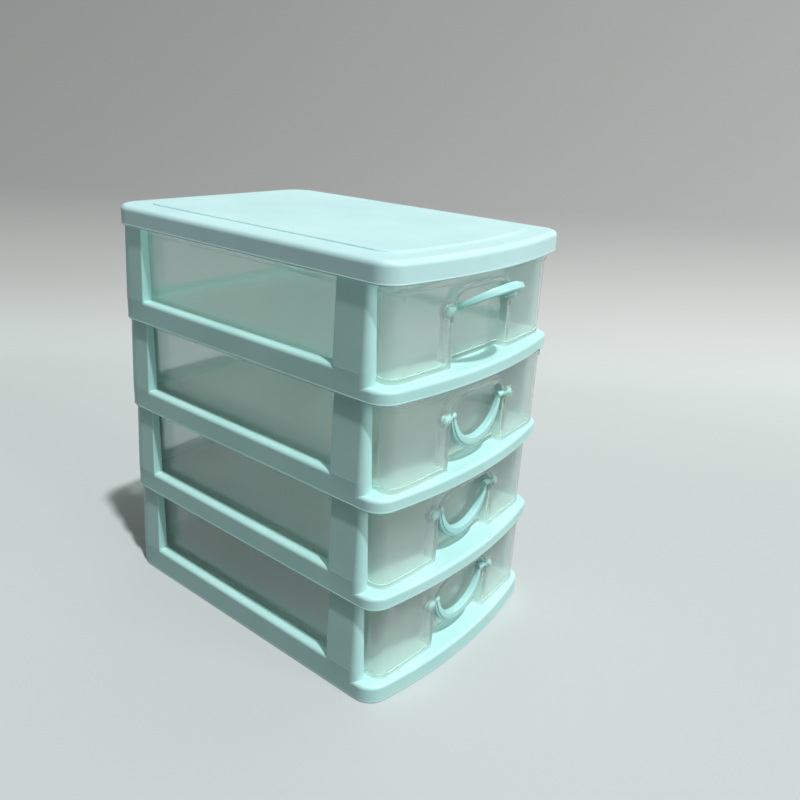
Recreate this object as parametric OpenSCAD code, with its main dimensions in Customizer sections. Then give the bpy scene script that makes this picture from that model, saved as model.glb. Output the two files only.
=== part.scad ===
// Desktop mini drawers: four open frames stacked on one another, a lid, and a translucent
// drawer with a swinging bail handle in each frame.
// Millimetres. The front faces -Y, +Z is up, and the origin is the middle of the bottom.

/* [Overall] */
// Width over the side faces
body_w = 90; // [80:1:150]
// Depth from the rear face to the middle of the bowed front
body_d = 130; // [110:1:220]
// Plan radius of the bowed front
bow_r = 179.4; // [150:0.1:400]
// Plan radius of the two rear corners
rear_corner_r = 10; // [7:0.5:14]
// Plan radius of the two front corners
front_corner_r = 7.2; // [6:0.1:9]

/* [Tiers] */
// Height from the foot of one frame to the foot of the next
tier_h = 32.8; // [31:0.1:60]
// Extra depth of the lowest frame's band, below its tier
base_extra = 1.6; // [0:0.1:6]
// Height of the lid from the foot of its skirt to its top
lid_h = 7.2; // [6:0.1:14]

/* [Frame bands] */
// Height of the side and rear rails above the frame's foot
rail_h = 8; // [6.6:0.1:11]
// Thickness of the rails and of the posts across the wall
rail_w = 4; // [3.4:0.1:5]
// Height of the ledge that carries the drawer above the frame's foot
ledge_h = 4.4; // [4.1:0.1:5]
// Thickness of the ledge plate
ledge_t = 1.4; // [1:0.1:1.6]
// Width of the ledge, measured in from the outer face
ledge_reach = 15.5; // [11:0.5:22]
// Distance from the front posts back to the opening in the middle of the ledge
ledge_opening_setback = 8; // [6:0.5:30]
// Plan radius of the opening's corners
ledge_opening_r = 6; // [2:0.5:12]
// Thickness of the skirt below the ledge and of the lid's skirt
skirt_t = 2; // [1.2:0.1:2.2]
// Rounding along the top edge of the rails
rail_round_r = 1.3; // [0.5:0.1:1.6]
// Rounding along the front edge of the ledge
ledge_round_r = 1.2; // [0.5:0.1:2]
// Rounding along the foot of each band and of the lid's skirt
foot_round_r = 0.4; // [0.2:0.1:0.8]

/* [Frame posts] */
// Length of a front post along the side
front_post_l = 13.4; // [10:0.1:22]
// Distance from the middle of the bowed front back to the front face of the front post
front_post_setback = 11.1; // [10:0.1:18]
// Rounding of the front post's outer front edge
front_post_round_r = 3; // [1:0.1:3.3]
// Length of a rear post along the side
rear_post_l = 16.5; // [13:0.5:24]
// Width of a rear post along the rear face
rear_post_w = 14; // [12:0.5:20]
// How far a post's outer face stands in from the rail's at its foot
post_step = 0.1; // [0.05:0.05:0.3]
// How far a post's outer face leans in at its top
post_lean = 1.1; // [0.4:0.1:1.4]
// Length of the locating tongue on top of a post
tongue_l = 8; // [5:0.5:9]
// Thickness of the locating tongue
tongue_t = 1.4; // [1:0.1:1.6]
// Height of the locating tongue
tongue_h = 2.6; // [1.5:0.1:2.8]
// Clearance between a tongue and the skirt that it stands in
tongue_gap = 0.2; // [0.15:0.05:0.3]

/* [Lid] */
// Thickness of the lid's plate at its rim
lid_plate_t = 2; // [1.4:0.1:3]
// Rounding along the lid's top edge
lid_round_r = 1.8; // [0.8:0.1:2.4]
// Height of the raised panel above the lid's rim
panel_rise = 0.5; // [0.3:0.1:1.2]
// Width of the lid's rim round the raised panel
panel_inset = 8.7; // [6:0.1:14]
// Plan radius of the panel's corners
panel_corner_r = 6.732; // [4:0.001:8]

/* [Drawers] */
// Side clearance between a drawer's rim and the posts
drawer_side_gap = 0.3; // [0.3:0.05:0.6]
// Clearance between a closed drawer and the rear rail
drawer_rear_gap = 0.4; // [0.3:0.05:1]
// Clearance between a drawer's floor and the ledge
drawer_floor_gap = 0.3; // [0.3:0.05:0.5]
// Clearance between a drawer's top and the frame or lid above
drawer_top_gap = 0.6; // [0.4:0.1:1.2]
// Distance from the middle of the bowed front back to the middle of a closed drawer
drawer_setback = 4.7; // [4.5:0.1:8]
// Plan radius of a drawer's bowed front
drawer_bow_r = 380.2; // [200:0.1:600]
// Plan radius of a drawer's front corners
drawer_front_r = 4.5; // [3:0.1:5.5]
// Plan radius of a drawer's rear corners
drawer_rear_r = 5.6; // [5:0.1:6]
// Thickness of a drawer's walls
wall_t = 1.2; // [0.9:0.1:1.5]
// Thickness of a drawer's floor
floor_t = 1.2; // [0.9:0.1:2]
// How far the rim stands out past a drawer's walls
rim_out = 0.5; // [0.3:0.1:0.8]
// Height of the rim
rim_h = 2.1; // [1:0.1:2.4]
// How far each drawer stands open, from the lowest to the highest
drawer_open = [1.1, 0, 1.8, 0.1]; // [0:0.1:3]

/* [Recess in the drawer's front] */
// Width of the recess
recess_w = 30.6; // [30:0.1:40]
// Height of the top of the recess above the frame's foot
recess_top_h = 27.3; // [26.6:0.1:28]
// Depth of the recess
recess_d = 4; // [3.8:0.1:5]
// Radius of the two upper corners of the recess
recess_r = 7; // [4:0.5:7]
// Thickness of the pivot pad on each side of the recess
pad_t = 0.6; // [0.3:0.1:0.8]
// How far a pivot pad reaches down below the pivot
pad_drop = 3.5; // [2.6:0.1:5.1]

/* [Bail handles] */
// How far a handle's pivot lies below the top of the recess
pivot_drop = 5.2; // [4.7:0.1:5.7]
// Distance from the middle of a drawer's front back to the pivot
pivot_setback = 1.7; // [1.6:0.1:1.9]
// Outer radius of the bail
bail_r = 13.6; // [12.4:0.1:13.8]
// Radius of the opening in the bail
bail_hole_r = 12.1; // [10:0.1:12.2]
// How far the opening's centre lies above the bail's centre
bail_hole_rise = 2; // [1.2:0.1:2.4]
// Thickness of the bail from front to back
bail_t = 2.6; // [2:0.1:2.6]
// Radius of the ear round each pivot
ear_r = 1.3; // [1.2:0.05:1.3]
// Radius of the pivot pins
pin_r = 0.9; // [0.7:0.05:0.95]
// Radial clearance of a pin in its hole
pin_gap = 0.05; // [0.03:0.01:0.08]
// How far a pin reaches past the side of the recess
pin_reach = 2.9; // [2:0.1:4]
// Radius of the boss that holds a pin
boss_r = 2.1; // [1.8:0.1:2.3]
// How far each handle is raised from hanging, from the lowest to the highest
handle_raise = [0, 0, 0, 122]; // [0:1:130]

/* [Hidden] */
tier_count = 4;

round_fn = 96;    // facets of a full circle on plain corners
bow_fn = 1440;    // facets of a full circle on the wide bows
edge_fn = 48;     // facets of a full circle on rounded edges
cut = 1;          // how far a cut runs past the face it opens

wedge = 1.1;      // how far a wedge's sides reach, as a share of the reach of the corners

// The raised handle stands out past the bowed front, and counts in the middle of the depth,
// which is taken to the nearest hundredth.
handle_reach = max([for (n = [0:tier_count - 1])
    bail_r * sin(handle_raise[n]) + bail_t / 2 * abs(cos(handle_raise[n]))
    + drawer_open[n] - drawer_setback - pivot_setback]);

half_w = body_w / 2;
rear_y = round(50 * (body_d + max(handle_reach, 0))) / 100;
front_y = rear_y - body_d;
bow_y = front_y + bow_r;

// Centres of the outline's corners
rear_cx = half_w - rear_corner_r;
rear_cy = rear_y - rear_corner_r;
front_cx = half_w - front_corner_r;
front_cy = corner_y(front_cx, bow_y, bow_r - front_corner_r);
ledge_bottom_h = ledge_h - ledge_t;
plate_edge = (skirt_t + rail_w) / 2;    // inset of the plates' edges, inside the rim
lid_z = base_extra + tier_count * tier_h;
rim_z = lid_z + lid_h - panel_rise;

// Posts
post_front_y = front_y + front_post_setback;
front_post_y = post_front_y + front_post_l;
post_round_x = half_w - front_post_round_r;
post_round_y = post_front_y + front_post_round_r;
rear_post_y = rear_y - rear_post_l;
tongue_x = half_w - skirt_t - tongue_gap - tongue_t;
front_tongue_y = (post_front_y + front_post_y - tongue_l) / 2;
rear_tongue_y = rear_post_y + front_post_round_r / 2;

// Drawers
rim_half_w = half_w - rail_w - drawer_side_gap;
drawer_half_w = rim_half_w - rim_out;
drawer_rear_y = rear_y - rail_w - drawer_rear_gap - rim_out;
drawer_front_y = front_y + drawer_setback;
drawer_bow_y = drawer_front_y + drawer_bow_r;
drawer_foot_h = ledge_h + drawer_floor_gap;
drawer_top_h = tier_h - drawer_top_gap;
recess_half_w = recess_w / 2;
pivot_h = recess_top_h - pivot_drop;    // above the frame's foot
pad_foot_h = pivot_h - pad_drop;
pivot_y = drawer_front_y + pivot_setback;
pad_x = recess_half_w - pad_t;
pin_hole_r = pin_r + pin_gap;
pin_end_x = recess_half_w + pin_reach;
pin_hole_end_x = pin_end_x + 4 * pin_gap;
support_x = recess_half_w + wall_t / 2;    // where pads and bosses meet, inside the side wall
boss_end_x = pin_end_x + wall_t;

frame_colour = "#9fd4d0";
lid_colour = "#b4e0de";
drawer_colour = [0.72, 0.76, 0.72, 0.6];
handle_colour = "#86ddd0";

function tier_z(n) = base_extra + (n - 1) * tier_h;

// Where a corner's centre lies so that the corner meets a bow smoothly: the bow's centre is
// at bow_centre, and reach is the bow's radius less the corner's.
function corner_y(x, bow_centre, reach) = bow_centre - sqrt(reach * reach - x * x);

// ---------- Plan outlines ----------

// The wedge in front of the line that joins the front corners' centres, bounded by the lines
// from the bow's centre through them.
module bow_wedge(x, y, centre_y) {
    far_y = centre_y - wedge * (centre_y - y);
    polygon([[-x, y], [-wedge * x, far_y], [wedge * x, far_y], [x, y]]);
}

// The wedge beside it, round one front corner, and a little way back past the corner's centre.
module corner_wedge(x, y, centre_y, r) {
    far_y = centre_y - wedge * (centre_y - y);
    polygon([[x, y], [wedge * x, far_y], [x + 2 * r, far_y], [x + 2 * r, y + cut], [x, y + cut]]);
}

// Plan with straight sides, two rear corners, and a bowed front that meets its corners smoothly.
module bowed_plan(w, back, centre_y, r, rear_r, front_r) {
    fx = w - front_r;
    fy = corner_y(fx, centre_y, r - front_r);
    union() {
        translate([-w, fy]) square([2 * w, back - rear_r - fy]);
        translate([rear_r - w, fy]) square([2 * (w - rear_r), back - fy]);
        for (s = [-1, 1]) {
            translate([s * (w - rear_r), back - rear_r]) circle(rear_r, $fn = round_fn);
            translate([s * fx, fy]) circle(front_r, $fn = round_fn);
        }
        intersection() {
            translate([0, centre_y]) circle(r, $fn = bow_fn);
            bow_wedge(fx, fy, centre_y);
        }
    }
}

// The outline that the frames and the lid share, moved in by an inset.
module body_plan(inset) {
    bowed_plan(half_w - inset, rear_y - inset, bow_y, bow_r - inset,
               rear_corner_r - inset, front_corner_r - inset);
}

// The outline of the lid's raised panel.
module panel_plan() {
    bowed_plan(half_w - panel_inset, rear_y - panel_inset, bow_y, bow_r - panel_inset,
               panel_corner_r, panel_corner_r);
}

// The outline of the opening in a ledge, with a straight front.
module opening_plan() {
    w = half_w - ledge_reach;
    back = rear_y - ledge_reach;
    front = post_front_y + ledge_opening_setback;
    r = ledge_opening_r;
    union() {
        translate([-w, front + r]) square([2 * w, back - front - 2 * r]);
        translate([r - w, front]) square([2 * (w - r), back - front]);
        for (s = [-1, 1]) for (y = [front + r, back - r])
            translate([s * (w - r), y]) circle(r, $fn = round_fn);
    }
}

// The outline of a drawer's walls, moved in by an inset.
module drawer_plan(inset) {
    bowed_plan(drawer_half_w - inset, drawer_rear_y - inset, drawer_bow_y, drawer_bow_r - inset,
               drawer_rear_r - inset, drawer_front_r - inset);
}

// ---------- Sweeps round the outline ----------
// A swept profile has the outer face at x = 0 and reaches inwards to negative x; its y is height.

// Along one side, from a place near the front back to the rear corner, on both sides.
module sweep_sides(from_y) {
    for (s = [0, 1]) mirror([s, 0, 0])
        translate([half_w, rear_cy, 0]) rotate([90, 0, 0])
            linear_extrude(rear_cy - from_y) children();
}

// Round the two rear corners and along the rear, out to a distance from the middle.
module sweep_rear() {
    for (s = [0, 1]) mirror([s, 0, 0])
        translate([rear_cx, rear_cy, 0]) rotate_extrude(angle = 90, $fn = round_fn)
            translate([rear_corner_r, 0]) children();
    translate([-rear_cx, rear_y, 0]) rotate([90, 0, 90]) linear_extrude(2 * rear_cx) children();
}

// Round the two front corners and along the bow, between two heights.
module sweep_front(z0, z1) {
    for (s = [0, 1]) mirror([s, 0, 0]) intersection() {
        translate([front_cx, front_cy, 0]) rotate([0, 0, 270])
            rotate_extrude(angle = 90, $fn = round_fn) translate([front_corner_r, 0]) children();
        translate([0, 0, z0 - cut]) linear_extrude(z1 - z0 + 2 * cut)
            corner_wedge(front_cx, front_cy, bow_y, front_corner_r);
    }
    intersection() {
        translate([0, bow_y, 0]) rotate([0, 0, 180])
            rotate_extrude(angle = 180, $fn = bow_fn) translate([bow_r, 0]) children();
        translate([0, 0, z0 - cut]) linear_extrude(z1 - z0 + 2 * cut)
            bow_wedge(front_cx, front_cy, bow_y);
    }
}

// Profile of a bar as wide as a rail, with its upper outer edge rounded.
module bar_profile(z0, z1, top_r) {
    union() {
        translate([-rail_w, z0]) square([rail_w, z1 - top_r - z0]);
        translate([-rail_w, z0]) square([rail_w - top_r, z1 - z0]);
        translate([-top_r, z1 - top_r]) circle(top_r, $fn = edge_fn);
    }
}

// The sliver that a rounded foot leaves out of a bar's lower outer edge.
module foot_sliver(z0) {
    difference() {
        translate([-foot_round_r, z0 - cut]) square([foot_round_r + cut, foot_round_r + cut]);
        translate([-foot_round_r, z0 + foot_round_r]) circle(foot_round_r, $fn = edge_fn);
    }
}

// A skirt with a flat top all round: an angle profile, hollow below its top plate.
module rim(z0, plate_z, z1, top_r) {
    module profile() {
        difference() {
            bar_profile(z0, z1, top_r);
            foot_sliver(z0);
            translate([-rail_w - cut, z0 - cut]) square([rail_w + cut - skirt_t, plate_z - z0 + cut]);
        }
    }
    sweep_sides(front_cy) profile();
    sweep_rear() profile();
    sweep_front(z0, z1) profile();
}

// ---------- Frames ----------

// Upright profile of a post: a straight inner face, and an outer face that leans in.
module post_profile(foot, top, inner, outer) {
    polygon([[inner, foot], [outer - post_step, foot], [outer - post_lean, top], [inner, top]]);
}

// The front posts: a straight leg along the side, and a rounded outer front edge.
module front_posts(foot, top) {
    flat = rail_w - front_post_round_r;
    for (s = [0, 1]) mirror([s, 0, 0]) {
        translate([half_w, front_post_y, 0]) rotate([90, 0, 0])
            linear_extrude(front_post_y - post_round_y) post_profile(foot, top, -rail_w, 0);
        translate([post_round_x, post_round_y, 0]) rotate([0, 0, 270])
            rotate_extrude(angle = 90, $fn = round_fn)
                post_profile(foot, top, 0, front_post_round_r);
        translate([post_round_x, post_front_y, 0]) rotate([90, 0, 270])
            linear_extrude(flat) post_profile(foot, top, -front_post_round_r, 0);
    }
}

// The rear posts: a leg along the side, a rounded corner, and a leg along the rear.
module rear_posts(foot, top) {
    for (s = [0, 1]) mirror([s, 0, 0]) {
        translate([half_w, rear_cy, 0]) rotate([90, 0, 0])
            linear_extrude(rear_cy - rear_post_y) post_profile(foot, top, -rail_w, 0);
        translate([rear_cx, rear_cy, 0]) rotate_extrude(angle = 90, $fn = round_fn)
            translate([rear_corner_r, 0]) post_profile(foot, top, -rail_w, 0);
        translate([half_w - rear_post_w, rear_y, 0]) rotate([90, 0, 90])
            linear_extrude(rear_post_w - rear_corner_r) post_profile(foot, top, -rail_w, 0);
    }
}

// Tongues on top of the posts, which stand inside the skirt above.
module tongues(top) {
    for (s = [0, 1]) mirror([s, 0, 0])
        for (y = [front_tongue_y, rear_tongue_y])
            translate([tongue_x, y, top - tongue_t])
                cube([tongue_t, tongue_l, tongue_h + tongue_t]);
}

// The ledge plate inside the rim, open in the middle.
module ledge(z) {
    translate([0, 0, z]) linear_extrude(ledge_t) difference() {
        body_plan(plate_edge);
        opening_plan();
    }
}

// The rails above the ledge, along the sides from the front posts and along the rear.
module rails(z0, z1) {
    sweep_sides(post_round_y) bar_profile(z0, z1, rail_round_r);
    sweep_rear() bar_profile(z0, z1, rail_round_r);
}

module frame(n) {
    z = tier_z(n);
    foot = n == 1 ? 0 : z;
    color(frame_colour) union() {
        rim(foot, z + ledge_bottom_h, z + ledge_h, ledge_round_r);
        ledge(z + ledge_bottom_h);
        rails(z + ledge_bottom_h, z + rail_h);
        front_posts(z + ledge_bottom_h, z + tier_h);
        rear_posts(z + ledge_bottom_h, z + tier_h);
        tongues(z + tier_h);
    }
}

// ---------- Lid ----------

module lid() {
    plate_z = rim_z - lid_plate_t;
    color(lid_colour) union() {
        rim(lid_z, plate_z, rim_z, lid_round_r);
        translate([0, 0, plate_z]) linear_extrude(lid_plate_t) body_plan(plate_edge);
        translate([0, 0, plate_z + panel_rise])
            linear_extrude(lid_plate_t) panel_plan();
    }
}

// ---------- Drawers ----------

// Front view of the recess as an outline in X and Z, grown outwards by a wall.
module recess_outline(grow) {
    w = recess_half_w + grow;
    top = recess_top_h + grow;
    r = recess_r + grow;
    union() {
        translate([-w, 0]) square([2 * w, top - r]);
        translate([r - w, 0]) square([2 * (w - r), top]);
        for (s = [-1, 1]) translate([s * (w - r), top - r]) circle(r, $fn = round_fn);
    }
}

// The recess's space, from in front of the drawer back to a panel that follows the bow.
module recess_space(grow, depth) {
    difference() {
        rotate([90, 0, 0]) linear_extrude(body_d) recess_outline(grow);
        translate([0, drawer_bow_y, -cut])
            cylinder(tier_h + 2 * cut, r = drawer_bow_r - depth, $fn = bow_fn);
    }
}

// The pads inside the recess and the bosses behind it, which hold the pins.
module pivot_supports() {
    intersection() {
        union() {
            for (s = [0, 1]) mirror([s, 0, 0]) {
                translate([pad_x, drawer_front_y - cut, pad_foot_h])
                    cube([support_x - pad_x, recess_d + cut + wall_t, recess_top_h - pad_foot_h]);
                translate([support_x, pivot_y, pivot_h]) rotate([0, 90, 0])
                    cylinder(boss_end_x - support_x, r = boss_r, $fn = round_fn);
            }
        }
        linear_extrude(drawer_top_h) drawer_plan(0);
    }
}

module drawer_shell() {
    difference() {
        union() {
            translate([0, 0, drawer_foot_h])
                linear_extrude(drawer_top_h - drawer_foot_h) drawer_plan(0);
            translate([0, 0, drawer_top_h - rim_h]) linear_extrude(rim_h) drawer_plan(-rim_out);
        }
        difference() {
            translate([0, 0, drawer_foot_h + floor_t]) linear_extrude(tier_h) drawer_plan(wall_t);
            recess_space(wall_t, recess_d + wall_t);
        }
        recess_space(0, recess_d);
    }
}

module drawer(n) {
    color(drawer_colour)
    translate([0, -drawer_open[n - 1], tier_z(n)])
        difference() {
            union() {
                drawer_shell();
                pivot_supports();
            }
            for (s = [0, 1]) mirror([s, 0, 0])
                translate([pad_x - cut, pivot_y, pivot_h]) rotate([0, 90, 0])
                    cylinder(pin_hole_end_x - pad_x + cut, r = pin_hole_r, $fn = round_fn);
        }
}

// ---------- Handles ----------

// Front view of the bail about its pivot: a crescent that thins to an ear on each side.
module bail_outline() {
    difference() {
        circle(bail_r, $fn = 2 * round_fn);
        translate([0, bail_hole_rise]) circle(bail_hole_r, $fn = 2 * round_fn);
        translate([-bail_r - cut, 0]) square([2 * (bail_r + cut), bail_r + cut]);
    }
}

// One handle about its pivot axis, hanging straight down.
module bail() {
    ear_in = sqrt(bail_hole_r * bail_hole_r - bail_hole_rise * bail_hole_rise);
    translate([0, bail_t / 2, 0]) rotate([90, 0, 0]) linear_extrude(bail_t) bail_outline();
    for (s = [0, 1]) mirror([s, 0, 0]) rotate([0, 90, 0]) {
        translate([0, 0, ear_in]) cylinder(bail_r - ear_in, r = ear_r, $fn = round_fn);
        translate([0, 0, ear_in]) cylinder(pin_end_x - ear_in, r = pin_r, $fn = round_fn);
    }
}

module handle(n) {
    color(handle_colour)
    translate([0, pivot_y - drawer_open[n - 1], tier_z(n) + pivot_h])
        rotate([-handle_raise[n - 1], 0, 0]) bail();
}

lid();
frame(1);  // frame_1
frame(2);  // frame_2
frame(3);  // frame_3
frame(4);  // frame_4
drawer(1);  // drawer_1
drawer(2);  // drawer_2
drawer(3);  // drawer_3
drawer(4);  // drawer_4
handle(1);  // handle_1
handle(2);  // handle_2
handle(3);  // handle_3
handle(4);  // handle_4
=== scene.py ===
"""Looks of the desktop mini drawers: four stacked frames, a lid, translucent drawers and handles.

Sizes are in millimetres, in the part's own frame (front to -Y, +Z up, origin at the middle of the
bottom), and meshes are made in metres.
"""

import logging
import math
from dataclasses import dataclass, replace
from enum import Enum
from functools import cache
from typing import Any, Callable, Iterable, Sequence

import bmesh
import bpy
import numpy as np
from mathutils import Matrix, Vector


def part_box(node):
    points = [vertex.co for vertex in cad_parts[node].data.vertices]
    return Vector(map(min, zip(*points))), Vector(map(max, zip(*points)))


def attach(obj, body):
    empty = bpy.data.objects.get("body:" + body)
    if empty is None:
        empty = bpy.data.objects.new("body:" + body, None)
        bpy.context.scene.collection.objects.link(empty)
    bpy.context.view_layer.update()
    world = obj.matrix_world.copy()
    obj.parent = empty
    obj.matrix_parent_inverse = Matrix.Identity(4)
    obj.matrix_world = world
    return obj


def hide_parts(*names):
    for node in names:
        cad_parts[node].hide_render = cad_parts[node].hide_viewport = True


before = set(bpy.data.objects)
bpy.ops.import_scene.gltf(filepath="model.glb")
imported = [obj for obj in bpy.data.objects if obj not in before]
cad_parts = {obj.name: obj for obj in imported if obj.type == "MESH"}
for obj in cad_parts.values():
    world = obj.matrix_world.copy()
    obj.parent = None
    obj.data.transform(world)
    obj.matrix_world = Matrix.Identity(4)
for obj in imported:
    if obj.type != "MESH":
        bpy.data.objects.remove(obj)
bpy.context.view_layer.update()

MM = 0.001
LOG = logging.getLogger("mini_drawers")

Points = np.ndarray
Tree = bpy.types.NodeTree
Socket = bpy.types.NodeSocket
Pair = tuple[float, float]
Triple = tuple[float, float, float]

# Points nearer than this become one, in millimetres.
WELD = 0.0004
# Two points this near let a loop step from one section to another.
TWIN_GAP = 0.004
# Edges sharper than this aren't smoothed.
SHARP_DEG = 50
# How far in the middle point of a small round lies, as a share of the round's size, if not told.
ROUND_MIDDLE = 0.3


# ---------- Small helpers ----------

def linear(hex_colour: str) -> tuple[float, float, float, float]:
    """Turns an sRGB hex colour into a linear one.

    Args:
        hex_colour: the colour as "#rrggbb".

    Returns:
        Linear red, green, blue, and an alpha of 1.
    """
    channels = [int(hex_colour[i:i + 2], 16) / 255 for i in (1, 3, 5)]
    lin = [c / 12.92 if c <= 0.04045 else ((c + 0.055) / 1.055) ** 2.4 for c in channels]
    return (lin[0], lin[1], lin[2], 1.0)


def arc(centre: Pair, r: float, start: float, end: float, count: int) -> list[Pair]:
    """Points along a circular arc, both ends included.

    Args:
        centre: the arc's centre.
        r: radius.
        start: first angle in degrees.
        end: last angle in degrees.
        count: number of steps between the ends.

    Returns:
        count + 1 points.
    """
    angles = np.radians(np.linspace(start, end, count + 1))
    return [(centre[0] + r * math.cos(a), centre[1] + r * math.sin(a)) for a in angles]


def eased(corner: Pair, across: float, along: float, middle: float | None = None) -> list[Pair]:
    """Three points that round off a corner of a section.

    Args:
        corner: the sharp corner.
        across: how far from it, and to which side, the first point lies.
        along: the same for the last point, up or down.
        middle: how far from it the middle point lies, each way.

    Returns:
        The first, the middle and the last point.
    """
    x, z = corner
    if middle is None:
        middle = ROUND_MIDDLE * abs(across)
    return [(x + across, z), (x + math.copysign(middle, across), z + math.copysign(middle, along)),
            (x, z + along)]


def circle(r: float, count: int) -> list[Pair]:
    """Points round a circle about the origin, each of them once.

    Args:
        r: radius.
        count: how many points.

    Returns:
        The points.
    """
    return arc((0.0, 0.0), r, 0, 360, count)[:-1]


class Shell:
    """Gathers the points and faces of one piece, in millimetres, and makes its mesh."""

    def __init__(self) -> None:
        """Starts with nothing in it."""
        self.points: list[Points] = []
        self.faces: list[tuple[int, ...]] = []
        self.count = 0

    def add_points(self, points: Points) -> int:
        """Adds points.

        Args:
            points: an (n, 3) array.

        Returns:
            The number of the first one.
        """
        first = self.count
        self.points.append(np.asarray(points, float).reshape(-1, 3))
        self.count += len(self.points[-1])
        return first

    def grid(self, rows: Points, close_u: bool = False, close_v: bool = False,
             skip: Callable[[int, int], bool] | None = None) -> None:
        """Joins rows of points with quads.

        Args:
            rows: an (m, n, 3) array.
            close_u: whether the last row joins the first.
            close_v: whether the last point of a row joins its first.
            skip: says which quad, by row and column, is left out.
        """
        m, n = rows.shape[:2]
        first = self.add_points(rows)
        for i in range(m if close_u else m - 1):
            for j in range(n if close_v else n - 1):
                if skip and skip(i, j):
                    continue
                k, q = (i + 1) % m, (j + 1) % n
                self.faces.append((first + i * n + j, first + i * n + q,
                                   first + k * n + q, first + k * n + j))

    def cap(self, loop: Points) -> None:
        """Closes a loop with one flat face.

        Args:
            loop: its points, in order.
        """
        first = self.add_points(loop)
        self.faces.append(tuple(range(first, first + len(loop))))

    def tube(self, loops: Points) -> None:
        """Joins closed loops one above the other and closes both ends.

        Args:
            loops: an (m, n, 3) array.
        """
        self.grid(loops, close_v=True)
        self.cap(loops[0])
        self.cap(loops[-1])

    def mirrored(self, loops: Points) -> None:
        """Adds a closed tube and its mirror image across X.

        Args:
            loops: the tube's loops, as an (m, n, 3) array.
        """
        self.tube(loops)
        self.tube(loops * np.array([-1.0, 1.0, 1.0]))

    def make(self, name: str) -> bpy.types.Object:
        """Makes the piece.

        Args:
            name: the object's name.

        Returns:
            The linked object, smooth where its faces meet at a low angle.
        """
        mesh = bpy.data.meshes.new(name)
        mesh.from_pydata((np.concatenate(self.points) * MM).tolist(), [], self.faces)
        bm = bmesh.new()
        bm.from_mesh(mesh)
        bmesh.ops.remove_doubles(bm, verts=bm.verts, dist=WELD * MM)
        bmesh.ops.dissolve_degenerate(bm, edges=bm.edges, dist=WELD * MM)
        bmesh.ops.recalc_face_normals(bm, faces=bm.faces)
        bm.to_mesh(mesh)
        bm.free()
        mesh.shade_smooth()
        mesh.set_sharp_from_angle(angle=math.radians(SHARP_DEG))
        piece = bpy.data.objects.new(name, mesh)
        bpy.context.scene.collection.objects.link(piece)
        even = piece.modifiers.new("even_normals", "WEIGHTED_NORMAL")
        even.keep_sharp = True
        even.weight = 100
        return piece


def with_height(plan: Sequence[Pair] | Points, z: float) -> Points:
    """Lifts a plan outline to a height.

    Args:
        plan: the outline's points.
        z: the height.

    Returns:
        An (n, 3) array.
    """
    plan = np.asarray(plan, float)
    return np.column_stack([plan, np.full(len(plan), z)])


# ---------- Materials ----------

def add_node(tree: Tree, kind: str, settings: dict[str, Any] | None = None,
             inputs: dict[str, Any] | None = None) -> bpy.types.Node:
    """Adds a node to a material.

    Args:
        tree: the material's node tree.
        kind: the node's type name.
        settings: attributes of the node.
        inputs: values for its sockets, or output sockets to link to them.

    Returns:
        The node.
    """
    node = tree.nodes.new(kind)
    for key, value in (settings or {}).items():
        setattr(node, key, value)
    for key, value in (inputs or {}).items():
        if isinstance(value, Socket):
            tree.links.new(value, node.inputs[key])
        else:
            node.inputs[key].default_value = value
    return node


def blank_material(name: str) -> tuple[bpy.types.Material, Tree]:
    """A new material with an empty node tree.

    Args:
        name: the material's name.

    Returns:
        The material and its tree.
    """
    material = bpy.data.materials.new(name)
    material.use_nodes = True
    material.node_tree.nodes.clear()
    return material, material.node_tree


def clear_to_lamps(tree: Tree, seen: Socket, colour: str, share: float = 1.0) -> None:
    """Ends a material that lamps shine straight through, whatever its surface looks like.

    Args:
        tree: the material's node tree.
        seen: the surface that is seen.
        colour: the colour that the lamps' light takes on.
        share: how much of it passes.
    """
    passed = add_node(tree, "ShaderNodeBsdfTransparent", inputs={"Color": linear(colour)})
    passed = passed.outputs["BSDF"]
    if share < 1:
        passed = add_node(tree, "ShaderNodeMixShader", inputs={
            0: share, 1: seen, 2: passed}).outputs["Shader"]
    surface = add_node(tree, "ShaderNodeMixShader", inputs={
        0: add_node(tree, "ShaderNodeLightPath").outputs["Is Shadow Ray"], 1: seen, 2: passed})
    add_node(tree, "ShaderNodeOutputMaterial", inputs={"Surface": surface.outputs["Shader"]})


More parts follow.
